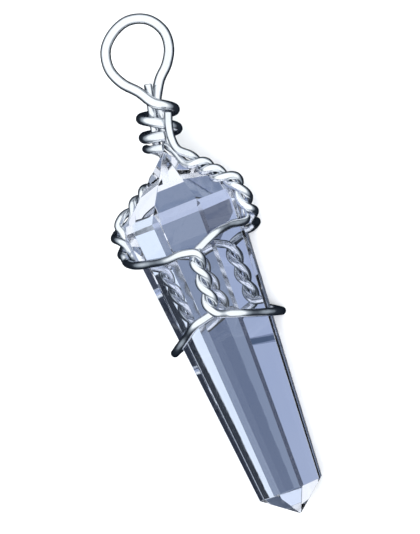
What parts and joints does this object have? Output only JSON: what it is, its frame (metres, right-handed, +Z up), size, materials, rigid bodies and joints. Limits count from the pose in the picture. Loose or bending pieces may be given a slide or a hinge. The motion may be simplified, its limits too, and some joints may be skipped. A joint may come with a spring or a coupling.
{
  "type": "crystal point pendant",
  "caption": "Faceted clear quartz point, pointed at both ends, in a cage of twisted silver wire with a coiled neck and a round bail loop.",
  "frame": {"origin": "middle of the bounding box's underside, on the surface that the pendant lies on", "axes": "+Z up from that surface, +Y along the pendant from its lower tip to the bail loop, +X to the side"},
  "size_m": [0.0138, 0.048, 0.012],
  "materials": {
    "quartz": "clear polished quartz with a faint blue tint",
    "cage_silver": "bright silver-plated wire, hand drawn and slightly marked",
    "bail_silver": "bright silver-plated wire, thicker, hand bent"
  },
  "bodies": {
    "root": {"crystal_point": "quartz", "left_cage_wire": "cage_silver", "right_cage_wire": "cage_silver", "bail_wire_loop": "bail_silver"}
  },
  "joints": []
}
